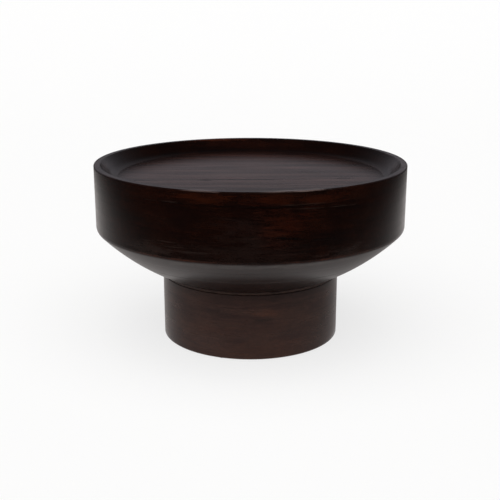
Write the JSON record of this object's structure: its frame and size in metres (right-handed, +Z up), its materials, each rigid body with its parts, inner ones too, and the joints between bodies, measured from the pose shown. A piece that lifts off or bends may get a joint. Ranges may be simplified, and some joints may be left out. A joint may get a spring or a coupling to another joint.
{
  "type": "round pedestal coffee table",
  "caption": "Round drum-shaped coffee table in dark stained wood: sunk tray top with a raised rim, bulging underside and a short round pedestal.",
  "frame": {"origin": "on the floor, on the table's axis", "axes": "+Z up along the table's axis; the tabletop's boards run along X; -Y is the front"},
  "size_m": [0.7998, 0.7998, 0.46],
  "materials": {
    "stained_mango": "dark espresso stain under semi-gloss lacquer, grain round the ring",
    "stained_mango_boards": "dark espresso stain under semi-gloss lacquer, grain along the boards",
    "batten_wood": "planed, unfinished",
    "plywood": "sanded, unfinished",
    "zinc_steel": "zinc plated",
    "blackened_steel": "black oxide",
    "felt": "pressed wool felt"
  },
  "bodies": {
    "root": {"rim_ring": "stained_mango", "drum_ring_1": "stained_mango", "drum_ring_2": "stained_mango", "drum_ring_3": "stained_mango", "drum_ring_4": "stained_mango", "flare_ring_1": "stained_mango", "flare_ring_2": "stained_mango", "flare_ring_3": "stained_mango", "drum_floor": "stained_mango", "pedestal_ring_1": "stained_mango", "pedestal_ring_2": "stained_mango", "pedestal_ring_3": "stained_mango", "pedestal_ring_4": "stained_mango", "pedestal_ring_5": "stained_mango", "top_board_1": "stained_mango_boards", "top_board_2": "stained_mango_boards", "top_board_3": "stained_mango_boards", "top_board_4": "stained_mango_boards", "top_board_5": "stained_mango_boards", "top_board_6": "stained_mango_boards", "top_board_7": "stained_mango_boards", "locating_disc": "plywood", "pedestal_cap": "plywood", "batten_left": "batten_wood", "batten_right": "batten_wood", "batten_screws": "zinc_steel", "cap_screws": "zinc_steel", "joint_bolts": "blackened_steel", "bolt_washers": "zinc_steel", "threaded_inserts": "zinc_steel", "glide_pads": "felt", "glide_nails": "zinc_steel"}
  },
  "joints": []
}
